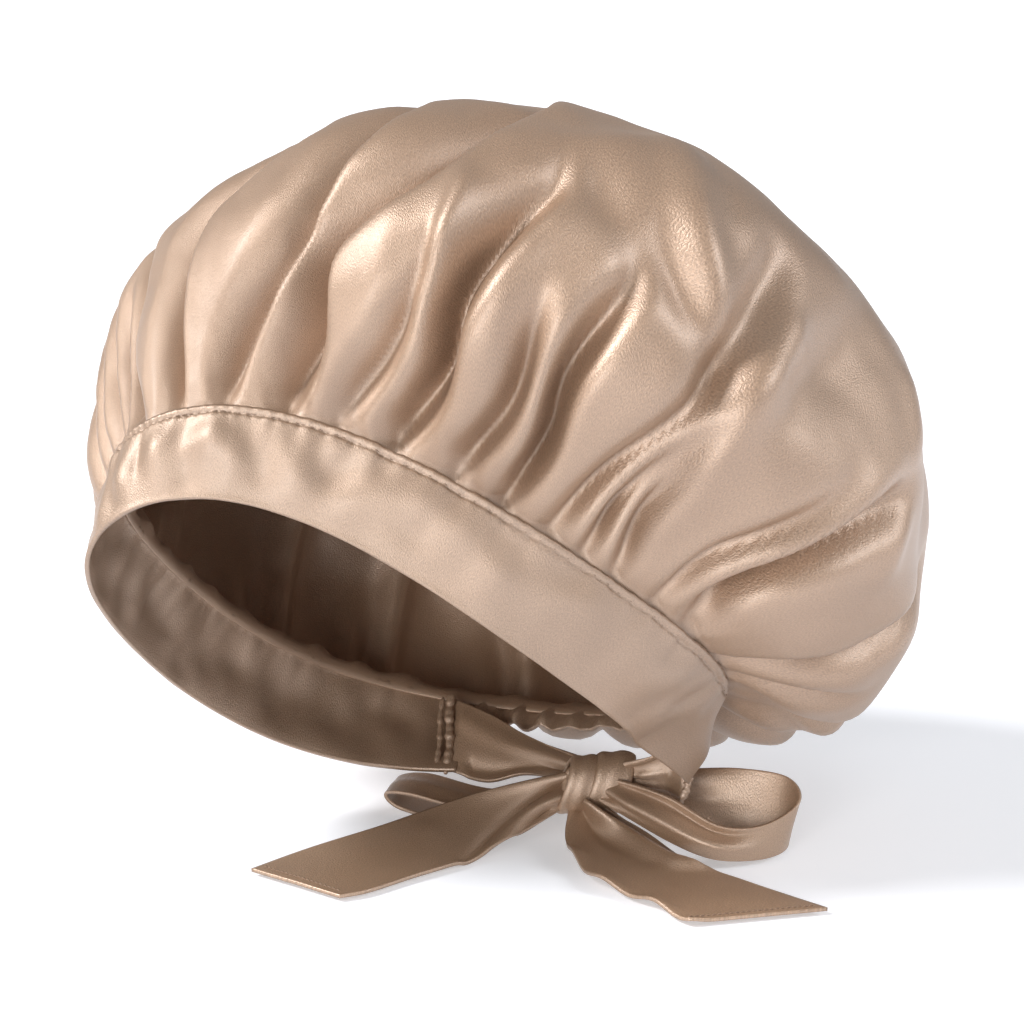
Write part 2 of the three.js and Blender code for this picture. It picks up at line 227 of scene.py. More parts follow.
def opening_edge(angle):
    t = np.radians(angle)
    half = np.where(np.cos(t) > 0, OPENING_FRONT, OPENING_BACK)
    across = OPENING_HALF_WIDTH * np.sin(t) + OPENING_SKEW * np.sin(2 * t)
    wave = (4.7 * np.cos(2 * t) + 7.2 * np.sin(2 * t)
            - 3.4 * np.cos(3 * t) + 2.1 * np.sin(3 * t))
    point = np.stack([across, -half * np.cos(t), wave], -1)
    outward = np.stack([np.sin(t) / OPENING_HALF_WIDTH, -np.cos(t) / half, 0 * t], -1)
    outward /= np.linalg.norm(outward, axis=-1, keepdims=True)
    return point, outward


def seam(angle):
    t = np.radians(angle)
    point, outward = opening_edge(angle)
    width = 38.2 - 5.8 * np.cos(t)
    lean = np.radians(16 - 16 * np.cos(t) + 25 * np.sin(t) + 6 * np.cos(2 * t))
    rise = np.stack([0 * t, 0 * t, width * np.cos(lean)], -1)
    return point + outward * (width * np.sin(lean))[..., None] + rise


def smooth(low, high, value):
    share = np.clip((value - low) / (high - low), 0, 1)
    return share * share * (3 - 2 * share)


def turned(a, b):
    """The way round from angle b to angle a, in degrees, the short way."""
    return (a - b + 180) % 360 - 180


def cloth_wall(name, middle, wall, material, wrap=False, lay=None):
    """A closed cloth wall about a grid of points, middle[i, j], i along the cloth and j across."""
    columns, rows = middle.shape[:2]
    if wrap:
        along = np.roll(middle, -1, 0) - np.roll(middle, 1, 0)
    else:
        along = np.gradient(middle, axis=0)
    across = np.gradient(middle, axis=1)
    normal = np.cross(along, across)
    normal /= np.maximum(np.linalg.norm(normal, axis=-1, keepdims=True), 1e-12)
    both = np.concatenate([(middle + normal * wall / 2).reshape(-1, 3),
                           (middle - normal * wall / 2).reshape(-1, 3)])
    count = columns * rows
    i = np.arange(columns if wrap else columns - 1)
    j = np.arange(rows - 1)
    ii, jj = np.meshgrid(i, j, indexing="ij")
    near = (ii * rows + jj).ravel()
    far = (((ii + 1) % columns) * rows + jj).ravel()
    front = np.stack([near, far, far + 1, near + 1], -1)
    back = front[:, ::-1] + count
    faces = [front, back]
    for row, flip in ((0, 1), (rows - 1, -1)):
        a, b = i * rows + row, ((i + 1) % columns) * rows + row
        rim = np.stack([a, a + count, b + count, b], -1)
        faces.append(rim[:, ::flip])
    if not wrap:
        for column, flip in ((0, -1), (columns - 1, 1)):
            a = column * rows + j
            rim = np.stack([a, a + count, a + 1 + count, a + 1], -1)
            faces.append(rim[:, ::flip])
    mesh = bpy.data.meshes.new(name)
    mesh.from_pydata(both.tolist(), [], np.concatenate(faces).tolist())
    # The cloth's own flat layout, in metres, for the weave to follow.
    if lay is None:
        length = np.linalg.norm(np.diff(middle, axis=0), axis=-1).mean(1)
        width = np.linalg.norm(np.diff(middle, axis=1), axis=-1).mean(0)
        run = np.concatenate([[0], np.cumsum(length)])
        drop = np.concatenate([[0], np.cumsum(width)])
        lay = np.stack(np.meshgrid(run, drop, indexing="ij"), -1)
    flat = np.tile(lay.reshape(-1, 2), (2, 1))
    corner = np.empty(len(mesh.loops), dtype=np.int32)
    mesh.loops.foreach_get("vertex_index", corner)
    layer = mesh.uv_layers.new(name="cloth")
    layer.data.foreach_set("uv", flat[corner].astype(np.float32).ravel())
    mesh.polygons.foreach_set("use_smooth", np.ones(len(mesh.polygons), dtype=bool))
    mesh.materials.append(material)
    mesh.update()
    piece = bpy.data.objects.new(name, mesh)
    bpy.context.collection.objects.link(piece)
    return piece


# ---------------------------------------------------------------- Crown
# One big round of satin, gathered into the seam all the way round, so that it puffs out over the
# band. Its fullness stands in soft pleats that start as sharp valleys at the seam and die out
# towards the top, with a few broad pressed dents higher up.

CENTRE = np.array([23.0, 42.0, 94.0])
SQUARENESS = 2.1
TURN_IN = 0.13
CROWN_WALL = 0.9
RIB = 260

# path: the pleat's valley from the seam upwards, as degrees from the forehead and share down the
# rib. depth: mm. gentle and steep: mm across the slope in front of the valley and behind it.
PLEATS = [
    # path, depth, gentle, steep
    (((-170, 1), (-172, 0.84), (-177, 0.58)), 8, 14, 10),
    (((-160, 1), (-158, 0.84), (-151, 0.56)), 9, 14, 8),
    (((-150, 1), (-152, 0.90), (-151, 0.80)), 6, 9, 8),
    (((-139, 1), (-136, 0.86), (-134, 0.66)), 9, 12, 9),
    (((-128, 1), (-130, 0.90), (-129, 0.78)), 6, 9, 8),
    (((-117, 1), (-115, 0.84), (-110, 0.58)), 9, 14, 9),
    (((-106, 1), (-108, 0.90), (-107, 0.78)), 6, 9, 8),
    (((-95, 1), (-93, 0.86), (-90, 0.66)), 8, 12, 8),
    (((-83, 1), (-86, 0.88), (-88, 0.74)), 7, 10, 8),
    (((-71, 1), (-72, 0.84), (-76, 0.60)), 8, 13, 8),
    (((-60, 1), (-63, 0.88), (-64, 0.76)), 6, 10, 7),
    (((-48, 1), (-52, 0.84), (-60, 0.66)), 7, 11, 7),
    (((-36, 1), (-42, 0.86), (-48, 0.70)), 6, 10, 7),
    (((-24, 1), (-31, 0.86), (-38, 0.72)), 6, 10, 7),
    (((-14, 1), (-20, 0.88), (-25, 0.74)), 6, 9, 6),
    (((-3, 1), (-9, 0.90), (-13, 0.78)), 6, 9, 6),
    (((7, 1), (-6, 0.89), (-8, 0.79), (-14, 0.70), (-14, 0.60)), 8, 13, 4.5),
    (((20, 1), (19, 0.88), (21, 0.77), (29, 0.69), (42, 0.60)), 9, 15, 4),
    (((32, 1), (38, 0.92), (45, 0.84), (51, 0.74), (56, 0.64), (60, 0.54)), 9, 15, 4),
    (((45, 1), (53, 0.90), (55, 0.81), (60, 0.75), (68, 0.66), (76, 0.50)), 14, 20, 4.5),
    (((54, 1), (64, 0.90), (68, 0.82), (70, 0.72)), 7, 12, 5),
    (((64, 1), (71, 0.91), (73, 0.82), (76, 0.74), (80, 0.66)), 15, 13, 6),
    (((74, 1), (80, 0.90), (81, 0.80)), 9, 11, 5),
    (((82, 1), (85, 0.92), (85, 0.84), (88, 0.73)), 13, 9, 7),
    (((90, 1), (93, 0.90), (96, 0.82), (97, 0.74)), 9, 9, 9),
    (((96, 1), (96, 0.92), (99, 0.80)), 9, 7, 7),
    (((102, 1), (99, 0.93), (99, 0.85)), 8, 6, 7),
    (((110, 1), (108, 0.93), (109, 0.88), (113, 0.78)), 8, 7, 8),
    (((119, 1), (114, 0.94), (115, 0.86), (121, 0.72)), 13, 10, 10),
    (((130, 1), (132, 0.95), (134, 0.88), (137, 0.74)), 10, 9, 9),
    (((137, 1), (140, 0.95), (143, 0.90)), 7, 6, 6),
    (((143, 1), (151, 0.95), (154, 0.86), (150, 0.76)), 8, 8, 8),
    (((151, 1), (154, 0.96), (160, 0.90)), 6, 6, 6),
    (((160, 1), (162, 0.88), (165, 0.62)), 9, 12, 8),
    (((170, 1), (172, 0.86), (177, 0.56)), 9, 13, 9),
    (((180, 1), (181, 0.92), (184, 0.82)), 6, 9, 8),
]

# Broad folds away from the seam: a ridge is high, a dent is low. Both ends are given as degrees
# from the forehead and share down the rib; height and width are mm.
FOLDS = [
    # at_a, down_a, at_b, down_b, height, width
    (84, 0.46, 118, 0.58, 4, 26), (134, 0.78, 162, 0.90, 5, 14),
    (49, 0.93, 53, 0.80, -4, 9), (91, 0.63, 95, 0.74, 8, 7), (96, 0.76, 90, 0.68, -8, 7),
    (97, 0.75, 99, 0.62, -10, 8), (98, 0.85, 102, 0.69, 6, 8), (104, 0.72, 110, 0.62, -8, 15),
    (108, 0.93, 118, 0.72, 5, 10), (80, 0.61, 90, 0.53, 4, 9), (90, 0.53, 92, 0.66, 5, 9),
    (82, 0.62, 86, 0.68, -5, 9), (68, 0.82, 71, 0.70, 5, 6), (75, 0.84, 80, 0.72, 4, 8),
    (118, 0.62, 124, 0.80, 4, 6), (124, 0.80, 140, 0.82, 3, 11), (125, 0.62, 134, 0.74, -4, 12),
    (50, 0.48, 62, 0.40, -3, 14), (20, 0.58, 40, 0.52, -3, 12), (95, 0.30, 130, 0.34, -4, 16),
    (150, 0.40, 160, 0.60, -6, 18), (165, 0.62, 172, 0.80, 6, 14), (-172, 0.45, -160, 0.62, -6, 17),
    (-150, 0.50, -142, 0.72, 6, 14), (-130, 0.42, -122, 0.66, -6, 16), (-104, 0.48, -100, 0.70, 5, 14),
    (-82, 0.42, -78, 0.62, -6, 16), (-60, 0.40, -56, 0.62, 4, 14), (-30, 0.40, -34, 0.62, -4, 14),
]


def crown_reach(direction):
    x, y, z = np.moveaxis(direction, -1, 0)
    front = np.where(y < 0, 157, 169)
    height = np.where(z > 0, 115, 120)
    total = (np.abs(x / 156) ** SQUARENESS + np.abs(y / front) ** SQUARENESS
             + np.abs(z / height) ** SQUARENESS)
    return total ** (-1 / SQUARENESS)


def crown_turn():
    tilt = math.radians(-6)
    c, s = math.cos(tilt), math.sin(tilt)
    about_x = np.array([[1, 0, 0], [0, c, -s], [0, s, c]])
    about_y = np.array([[c, 0, s], [0, 1, 0], [-s, 0, c]])
    return about_x @ about_y


def crown_form(angle, down):
    """A point of the puffed crown: degrees from the forehead, share from the top to the seam."""
    turn = crown_turn()
    edge = seam(angle) + np.array([0, 0, 1.2])
    to_seam = (edge - CENTRE) @ turn
    seam_reach = np.linalg.norm(to_seam, axis=-1)
    polar = down * np.arccos(to_seam[..., 2] / seam_reach)
    round_it = np.arctan2(to_seam[..., 1], to_seam[..., 0])
    direction = np.stack([np.sin(polar) * np.cos(round_it), np.sin(polar) * np.sin(round_it),
                          np.cos(polar)], -1)
    # On the wearer's left the cloth is drawn flatter to the seam than elsewhere.
    drawn = smooth(-25, 25, angle) * (1 - smooth(100, 130, angle))
    turn_in = np.clip((down - 1 + TURN_IN * (1 + drawn)) / (TURN_IN * (1 + drawn)), 0, 1)
    turn_in = turn_in ** (2.5 - 0.7 * drawn)
    reach = crown_reach(direction) * (1 - turn_in) + seam_reach * turn_in
    return CENTRE + (direction * reach[..., None]) @ turn.T


def smooth_line(knots, count):
    """A smooth line through a few points, evenly spaced."""
    knots = np.asarray(knots, float)
    padded = np.vstack([2 * knots[0] - knots[1], knots, 2 * knots[-1] - knots[-2]])
    fine = []
    for k in range(len(knots) - 1):
        a, b, c, d = padded[k:k + 4]
        for u in np.linspace(0, 1, 40, endpoint=False):
            fine.append(0.5 * (2 * b + (c - a) * u + (2 * a - 5 * b + 4 * c - d) * u ** 2
                               + (3 * b - a - 3 * c + d) * u ** 3))
    fine.append(knots[-1])
    fine = np.array(fine)
    run = np.concatenate([[0], np.cumsum(np.linalg.norm(np.diff(fine, axis=0), axis=1))])
    even = np.linspace(0, run[-1], count)
    return np.stack([np.interp(even, run, fine[:, k]) for k in range(fine.shape[1])], -1)


def pleat_relief(angle, down, girth):
    """How far the pleats press the cloth in, in mm. girth is mm a degree, round the crown."""
    out = np.zeros_like(angle)
    for path, depth, gentle, steep in PLEATS:
        knots = [(a, 100 * s) for a, s in path]
        line = smooth_line(knots, 60)[::-1]
        valley = np.interp(100 * down, line[:, 1], line[:, 0])
        run = (1 - down) / (1 - path[-1][1])
        apart = turned(angle, valley) * girth
        fade = (0.55 + 0.45 * smooth(0, 0.3, run)) * (1 - smooth(0.62, 1.25, run))
        spread = 0.75 + 0.55 * np.minimum(run, 1.2)
        width = np.where(apart < 0, gentle, steep) * spread
        lean = np.interp(100 * down + 1, line[:, 1], line[:, 0])
        lean = (lean - np.interp(100 * down - 1, line[:, 1], line[:, 0])) * girth / RIB / 0.02
        apart = apart / np.sqrt(1 + lean ** 2)
        slope = np.clip(1 - np.abs(apart) / width, 0, 1)
        out -= 2.0 * depth * fade * (0.75 * slope ** 2.2 + 0.25 * slope)
    return out


def fold_relief(angle, down, girth):
    out = np.zeros_like(angle)
    for at_a, down_a, at_b, down_b, height, width in FOLDS:
        x, y = turned(angle, at_a) * girth, (down - down_a) * RIB
        dx, dy = float(turned(at_b, at_a)) * girth, (down_b - down_a) * RIB
        along = np.clip((x * dx + y * dy) / (dx ** 2 + dy ** 2), 0, 1)
        apart = np.hypot(x - along * dx, y - along * dy)
        out += height * np.exp(-(apart / width) ** 2) * (0.6 + 0.4 * np.sin(math.pi * along))
    return out


def ripples(angle, down, seed, across, along):
    """Soft random relief drawn out along the ribs, from -1 to 1."""
    result = np.empty(angle.size)
    t = np.radians(angle.ravel())
    s = down.ravel()
    for k in range(result.size):
        result[k] = noise.noise(Vector((math.cos(t[k]) * across, math.sin(t[k]) * across,
                                        s[k] * along + seed)))
    return result.reshape(angle.shape)


def facing(points):
    """The way out from a grid that closes on itself along its first index."""
    along = np.roll(points, -1, 0) - np.roll(points, 1, 0)
    across = np.gradient(points, axis=1)
    normal = np.cross(across, along)
    normal /= np.maximum(np.linalg.norm(normal, axis=-1, keepdims=True), 1e-12)
    outward = points - CENTRE
    return normal * np.sign((normal * outward).sum(-1, keepdims=True).mean())


def eased(relief, times):
    """The relief with its hardest steps taken off, as cloth does by its own stiffness."""
    for _ in range(times):
        relief = (np.roll(relief, 1, 0) + 2 * relief + np.roll(relief, -1, 0)) / 4
        relief[:, 1:-1] = (relief[:, :-2] + 2 * relief[:, 1:-1] + relief[:, 2:]) / 4
    return relief


def make_crown():
    columns, rows = 430, 108
    turns = np.linspace(-180, 180, columns, endpoint=False)
    # The ribs stand closer on the wearer's left, where the folds are sharpest.
    turns = turns - 28 * np.sin(np.radians(turns - 75))
    shares = np.linspace(0.012, 1, rows) ** 0.88
    angle, down = np.meshgrid(turns, shares, indexing="ij")
    form = crown_form(angle, down)
    girth = np.linalg.norm(np.roll(form, -1, 0) - np.roll(form, 1, 0), axis=-1)
    girth /= np.abs(turned(np.roll(angle, -1, 0), np.roll(angle, 1, 0)))
    puff = smooth(0.0, 0.035, 1 - down)
    soft = np.array([3.2 * noise.noise(Vector(spot) / 48) + 0.7 * noise.noise(Vector(spot) / 17)
                     for spot in form.reshape(-1, 3)]).reshape(angle.shape)
    soft *= puff
    gathers = ripples(angle, down, 5.5, 34, 5) * 2.2 * np.exp(-((1 - down) / 0.05) ** 1.5)
    gathers *= 0.5 + 0.5 * smooth(100, 135, np.abs(angle)) + 0.3 * smooth(0, -30, angle)
    relief = pleat_relief(angle, down, girth) + fold_relief(angle, down, girth) * puff + soft
    relief = np.where(relief > 4, 4 + (relief - 4) * 0.6, relief) * (0.42 + 0.58 * puff) + 0.5 * puff
    crumple = np.array([noise.noise(Vector(spot) / 8) for spot in form.reshape(-1, 3)])
    relief += 0.35 * crumple.reshape(angle.shape) * puff
    relief = eased(relief + gathers, 2)
    points = form + facing(form) * relief[..., None]
    # Below the seam the raw edge turns in behind the band.
    low, outward = opening_edge(turns)
    top = seam(turns)
    for share, inset in ((0.03, 0.6), (0.12, 1.5)):
        turned_in = top + (low - top) * share - outward * inset
        points = np.concatenate([points, turned_in[:, None]], 1)
    rows += 2
    angle, down = np.meshgrid(turns, np.append(shares, [1.01, 1.03]), indexing="ij")
    lay = np.stack([np.cos(np.radians(angle)), np.sin(np.radians(angle))], -1)
    lay = (lay * (down * 0.28)[..., None]).reshape(-1, 2)
    i, j = np.meshgrid(np.arange(columns), np.arange(rows - 1), indexing="ij")
    near, far = (i * rows + j).ravel(), (((i + 1) % columns) * rows + j).ravel()
    faces = np.stack([near, far, far + 1, near + 1], -1).tolist()
    cap = len(faces)
    top = columns * rows
    faces += [(int(k * rows), top, int(((k + 1) % columns) * rows)) for k in range(columns)]
    mesh = bpy.data.meshes.new("crown_cloth")
    crest = tip(points[:, 0].mean(0))
    spots = np.vstack([tip(points).reshape(-1, 3), crest])
    mesh.from_pydata(spots.tolist(), [], faces)
    piece = bpy.data.objects.new("crown_cloth", mesh)
    bpy.context.collection.objects.link(piece)
    layer = mesh.uv_layers.new(name="cloth")
    corner = np.empty(len(mesh.loops), dtype=np.int32)
    mesh.loops.foreach_get("vertex_index", corner)
    lay = np.vstack([lay, [[0, 0]]])
    layer.data.foreach_set("uv", lay[corner].astype(np.float32).ravel())
    mesh.polygons.foreach_set("use_smooth", np.ones(len(mesh.polygons), dtype=bool))
    mesh.materials.append(crown_satin)
    mesh.update()
    wall = piece.modifiers.new("wall", "SOLIDIFY")
    wall.thickness = CROWN_WALL * MM
    wall.offset = 0
    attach(piece, "root")
    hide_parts("crown")


# ---------------------------------------------------------------- Front band
# A straight strip of satin doubled over and pressed, its raw edges shut in the seam with the
# crown. One row of small running stitches sits just under the seam.

BAND_WALL = 1.7
BAND_OVERLAP = 1.6
STITCH_LINE = 0.93
STITCH_PITCH = 3.1


def band_point(angle, up, proud=0.0):
    """A point of the band: degrees from the forehead, share up from the lower edge."""
    point, outward = opening_edge(angle)
    pull = 33 * smooth(140, BAND_END, angle)
    point = point + np.stack([0 * pull, pull, 0 * pull], -1)
    bulge = 2.0 * np.sin(math.pi * up) + proud
    return point + (seam(angle) - point) * up[..., None] + outward * bulge[..., None]


def band_relief(angle, up):
    """The band's soft dents and puckers, in mm, out from its plain shape."""
    soft = ripples(angle, up, 2.3, 7, 2.0) * 3.0 * np.sin(math.pi * up)
    pulled = ripples(angle, up, 5.9, 15, 1.2) * 1.4 * smooth(0.3, 1.0, up) * smooth(0, 0.05, 1 - up)
    wilted = ripples(angle, up, 8.8, 9, 2.2) * 3.0 * smooth(110, 148, np.abs(angle))
    wilted *= np.sin(math.pi * np.clip(up, 0.05, 0.95))
    roll = 0.6 * np.exp(-((up - 0.975) / 0.02) ** 2)
    groove = -0.7 * np.exp(-((up - STITCH_LINE) / 0.022) ** 2)
    pucker = 0.35 * np.sin(np.radians(angle) * 150) * np.exp(-((up - STITCH_LINE) / 0.05) ** 2)
    edge = 0.5 * np.exp(-(up / 0.05) ** 2)
    return soft + pulled + wilted + roll + groove + pucker + edge


def thread_row(name, spots, outward, material, length=2.3, radius=0.26):
    """Small raised stitches, one at each spot in metres, lying along the row."""
    points, faces = [], []
    sides, stations = 6, ((-1.0, 0.3), (-0.55, 0.9), (0.0, 1.15), (0.55, 0.9), (1.0, 0.3))
    for k in range(1, len(spots) - 1, 1):
        along = spots[k + 1] - spots[k - 1]
        along = along / np.linalg.norm(along)
        out = outward[k] / np.linalg.norm(outward[k])
        side = np.cross(along, out)
        base = len(points)
        for at, fat in stations:
            middle = spots[k] + along * at * length / 2 * MM + out * (0.3 - 0.35 * abs(at)) * MM
            for turn in range(sides):
                t = 2 * math.pi * turn / sides
                points.append(middle + (out * math.cos(t) + side * math.sin(t)) * radius * fat * MM)
        for ring in range(len(stations) - 1):
            for turn in range(sides):
                a = base + ring * sides + turn
                b = base + ring * sides + (turn + 1) % sides
                faces.append((a, b, b + sides, a + sides))
        faces.append(tuple(base + turn for turn in reversed(range(sides))))
        last = base + (len(stations) - 1) * sides
        faces.append(tuple(last + turn for turn in range(sides)))
    mesh = bpy.data.meshes.new(name)
    mesh.from_pydata([tuple(p) for p in points], [], faces)
    mesh.polygons.foreach_set("use_smooth", np.ones(len(mesh.polygons), dtype=bool))
    mesh.materials.append(material)
    mesh.uv_layers.new(name="cloth")
    piece = bpy.data.objects.new(name, mesh)
    bpy.context.collection.objects.link(piece)
    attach(piece, "root")
    return piece


def make_band():
    end = BAND_END + BAND_OVERLAP
    angle, up = np.meshgrid(np.linspace(-end, end, 460), np.linspace(0, 1, 44), indexing="ij")
    points = band_point(angle, up, band_relief(angle, up))
    piece = cloth_wall("band_cloth", tip(points), BAND_WALL * MM, band_satin)
    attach(piece, "root")
    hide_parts("front_band")
    # The row of stitches follows the band's outer face.
    fine = np.linspace(-BAND_END + 1, BAND_END - 1, 1200)
    high = np.full_like(fine, STITCH_LINE)
    line = tip(band_point(fine, high, band_relief(fine, high) + BAND_WALL / 2))
    lower = tip(band_point(fine, high, band_relief(fine, high) - 2))
    run = np.concatenate([[0], np.cumsum(np.linalg.norm(np.diff(line, axis=0), axis=1))])
    steps = np.arange(0, run[-1], STITCH_PITCH * MM)
    even = np.stack([np.interp(steps, run, line[:, k]) for k in range(3)], -1)
    inner = np.stack([np.interp(steps, run, lower[:, k]) for k in range(3)], -1)
    thread_row("band_stitches", even, even - inner, thread)


# ---------------------------------------------------------------- Nape casing
# A narrow channel of satin with an elastic drawn through it, so that it puckers up in close
# gathers between the band's two ends.

def make_casing():
    angle, up = np.meshgrid(np.linspace(BAND_END, 360 - BAND_END, 320), np.linspace(0, 1, 24),
                            indexing="ij")
    point, outward = opening_edge(angle)
    top = seam(angle)
    drop = (point - top) / np.linalg.norm(point - top, axis=-1, keepdims=True)
    t = np.radians(angle)
    gather = np.sin(t * 50 + 1.9 * np.sin(t * 9 + 1)) * (0.75 + 0.25 * np.sin(t * 17))
    crease = np.sin(t * 131 + 2.0 * np.sin(t * 7))
    height = 15.5 + 1.3 * gather * (1 - up)
    ruffle = (2.0 * gather + 0.5 * crease) * np.sin(math.pi * (up * 0.75 + 0.25))
    channel = 1.6 * np.sin(math.pi * np.clip(up / 0.75, 0, 1))
    points = top + drop * (height * (1 - up))[..., None] + outward * (ruffle - channel)[..., None]
    piece = cloth_wall("casing_cloth", tip(points), 1.6 * MM, band_satin)
    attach(piece, "root")
    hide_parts("nape_casing")


thread = plain_material("thread", (0.22, 0.145, 0.10), 0.55)
make_crown()
make_band()
make_casing()


# ---------------------------------------------------------------- Bow
# The two ties are flat doubled strips of the same satin. They leave the band's ends, cross in a
# knot under the nape, stand out in two loops, and end in two tails cut and stitched on the slant.

STRAP_WALL = 1.4
KNOT = np.array([39.0, 105.0, -69.0])

# Stations along each strap: edge a and edge b, millimetres in the bonnet's own frame.
TIE_LEFT = [((82, 126, -32), (76, 113, -69)), ((70, 119, -46), (66, 117, -69)),
            ((62, 112, -54), (60, 114, -68)), ((47, 108, -60), (47, 110, -67))]
TIE_RIGHT = [((-44, 114, -53), (-29, 93, -75)), ((-22, 114, -56), (-9, 95, -76)),
             ((-3, 113, -60), (7, 101, -71)), ((30, 110, -62), (30, 104, -70))]
LOOP_LEFT = [((45, 103, -64), (46, 100, -73)), ((74, 105, -66), (78, 101, -82)),
             ((95, 112, -75), (96, 107, -87)), ((106, 126, -76), (105, 120, -89)),
             ((110, 143, -70), (108, 134, -89)), ((98, 152, -65), (103, 144, -88)),
             ((80, 146, -64), (88, 140, -88)), ((62, 132, -65), (70, 127, -84)),
             ((42, 114, -66), (44, 110, -76))]
LOOP_RIGHT = [((34, 104, -71), (34, 99, -76)), ((-4, 95, -79), (4, 80, -82)),
              ((-38, 92, -79), (-30, 71, -80)), ((-52, 89, -83), (-42, 71, -83)),
              ((-46, 93, -89), (-36, 75, -89)), ((-17, 97, -88), (-8, 79, -88)),
              ((33, 107, -74), (34, 101, -78))]
TAIL_LEFT = [((35, 95, -78), (46, 101, -75)), ((46, 80, -86), (65, 106, -84)),
             ((73, 63, -88), (94, 98, -88)), ((97, 59, -89), (117, 99, -89)),
             ((127, 53, -89), (157, 97, -89))]
TAIL_RIGHT = [((32, 97, -64), (35, 96, -76)), ((15, 80, -69), (28, 71, -84)),
              ((2, 66, -74), (25, 51, -88)), ((-12, 42, -81), (20, 21, -89)),
              ((-25, 12, -86), (18, -1, -89)), ((-31, -14, -89), (14, -12, -89))]


def make_strap(name, node, stations, folds):
    """A strap between two edges. folds(u, v) moves the cloth out of its plane, in mm."""
    count, rows = 170, 40
    edge_a = smooth_line([s[0] for s in stations], count)
    edge_b = smooth_line([s[1] for s in stations], count)
    v = np.linspace(0, 1, rows)
    points = edge_a[:, None] * (1 - v)[None, :, None] + edge_b[:, None] * v[None, :, None]
    along = np.gradient(points, axis=0)
    across = np.gradient(points, axis=1)
    normal = np.cross(along, across)
    normal /= np.maximum(np.linalg.norm(normal, axis=-1, keepdims=True), 1e-9)
    u, vv = np.meshgrid(np.linspace(0, 1, count), v, indexing="ij")
    points = points + normal * folds(u, vv)[..., None]
    points[..., 2] = np.maximum(points[..., 2], floor_z / MM + 0.9)
    piece = cloth_wall(name, points * MM, STRAP_WALL * MM, tie_satin)
    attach(piece, "root")
    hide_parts(node)
    return points, normal


def ridge(u, v, start, end, height, width):
    """A fold between two places on a strap, each (share along, share across), in mm."""
    dx, dy = (end[0] - start[0]) * 3, end[1] - start[1]
    x, y = (u - start[0]) * 3, v - start[1]
    along = np.clip((x * dx + y * dy) / (dx ** 2 + dy ** 2), 0, 1)
    apart = np.hypot(x - along * dx, y - along * dy)
    return height * np.exp(-(apart / width) ** 2) * (1 - 0.5 * along)


def pinch(u, v, ridges, amount, reach):
    """The fine folds that fan out from where the strap is drawn into the knot."""
    near = np.exp(-(u / reach) ** 1.5)
    return amount * near * np.sin(math.pi * ridges * v + 2.5 * u + 0.6 * np.sin(9 * v))


def tie_left_folds(u, v):
    return (pinch(1 - u, v, 4, 1.0, 0.5) + ridge(u, v, (0.05, 0.75), (0.7, 0.65), 1.8, 0.12)
            + ridge(u, v, (0.0, 0.4), (0.3, 0.5), -1.6, 0.12))


def tie_right_folds(u, v):
    return (pinch(1 - u, v, 4, 1.0, 0.35) + ridge(u, v, (0.1, 0.25), (0.9, 0.45), -1.6, 0.16)
            + ridge(u, v, (0.2, 0.85), (0.95, 0.7), 2.2, 0.13))


def loop_left_folds(u, v):
    front = 1 - smooth(0.28, 0.46, u)
    back = smooth(0.66, 0.85, u)
    crest = 2.6 * np.exp(-((v - 0.22) / 0.16) ** 2) - 3.0 * np.exp(-((v - 0.62) / 0.17) ** 2)
    rim = 1.4 * np.exp(-((v - 1.0) / 0.12) ** 2)
    return (front * smooth(0, 0.10, u) * (crest + rim) + back * 1.6 * np.sin(math.pi * 2.5 * v)
            + pinch(u, v, 3.5, 1.2, 0.16) + pinch(1 - u, v, 3.5, 1.2, 0.16))


def loop_right_folds(u, v):
    return (pinch(u, v, 3, 1.0, 0.2) + pinch(1 - u, v, 3, 1.0, 0.2)
            + ridge(u, v, (0.1, 0.6), (0.42, 0.5), 1.6, 0.2))


def tail_left_folds(u, v):
    crest = ridge(u, v, (0.02, 0.60), (0.50, 0.86), 7.0, 0.12)
    shadow = ridge(u, v, (0.06, 0.42), (0.40, 0.62), -1.5, 0.12)
    wavy = 1.3 * (1 + np.sin(24 * u + 1)) * np.exp(-(v / 0.10) ** 2) * smooth(0.1, 0.3, u)
    sag = ridge(u, v, (0.5, 0.85), (0.85, 0.6), 1.6, 0.22)
    return crest + shadow + wavy + sag + pinch(u, v, 4, 1.3, 0.14)


def tail_right_folds(u, v):
    crease = ridge(u, v, (0.04, 0.35), (0.46, 0.98), -3.4, 0.10)
    band = ridge(u, v, (0.05, 0.62), (0.34, 0.98), 2.6, 0.12)
    pucker = ridge(u, v, (0.10, 0.80), (0.22, 0.95), -2.0, 0.07)
    low = ridge(u, v, (0.5, 0.3), (0.9, 0.5), 1.0, 0.25)
    return crease + band + pucker + low + pinch(u, v, 3.5, 1.2, 0.16)


def hem_line(name, points, normal, back_from_end):
    """Stitches across a tail, a little in from its cut end."""
    row = len(points) - 1 - back_from_end
    line, out = points[row] + normal[row] * STRAP_WALL / 2, normal[row]
    run = np.concatenate([[0], np.cumsum(np.linalg.norm(np.diff(line, axis=0), axis=1))])
    steps = np.arange(0.8, run[-1] - 0.8, 2.2)
    even = np.stack([np.interp(steps, run, line[:, k]) for k in range(3)], -1)
    ways = np.stack([np.interp(steps, run, out[:, k]) for k in range(3)], -1)
    thread_row(name, even * MM, ways, thread, 1.9, 0.24)


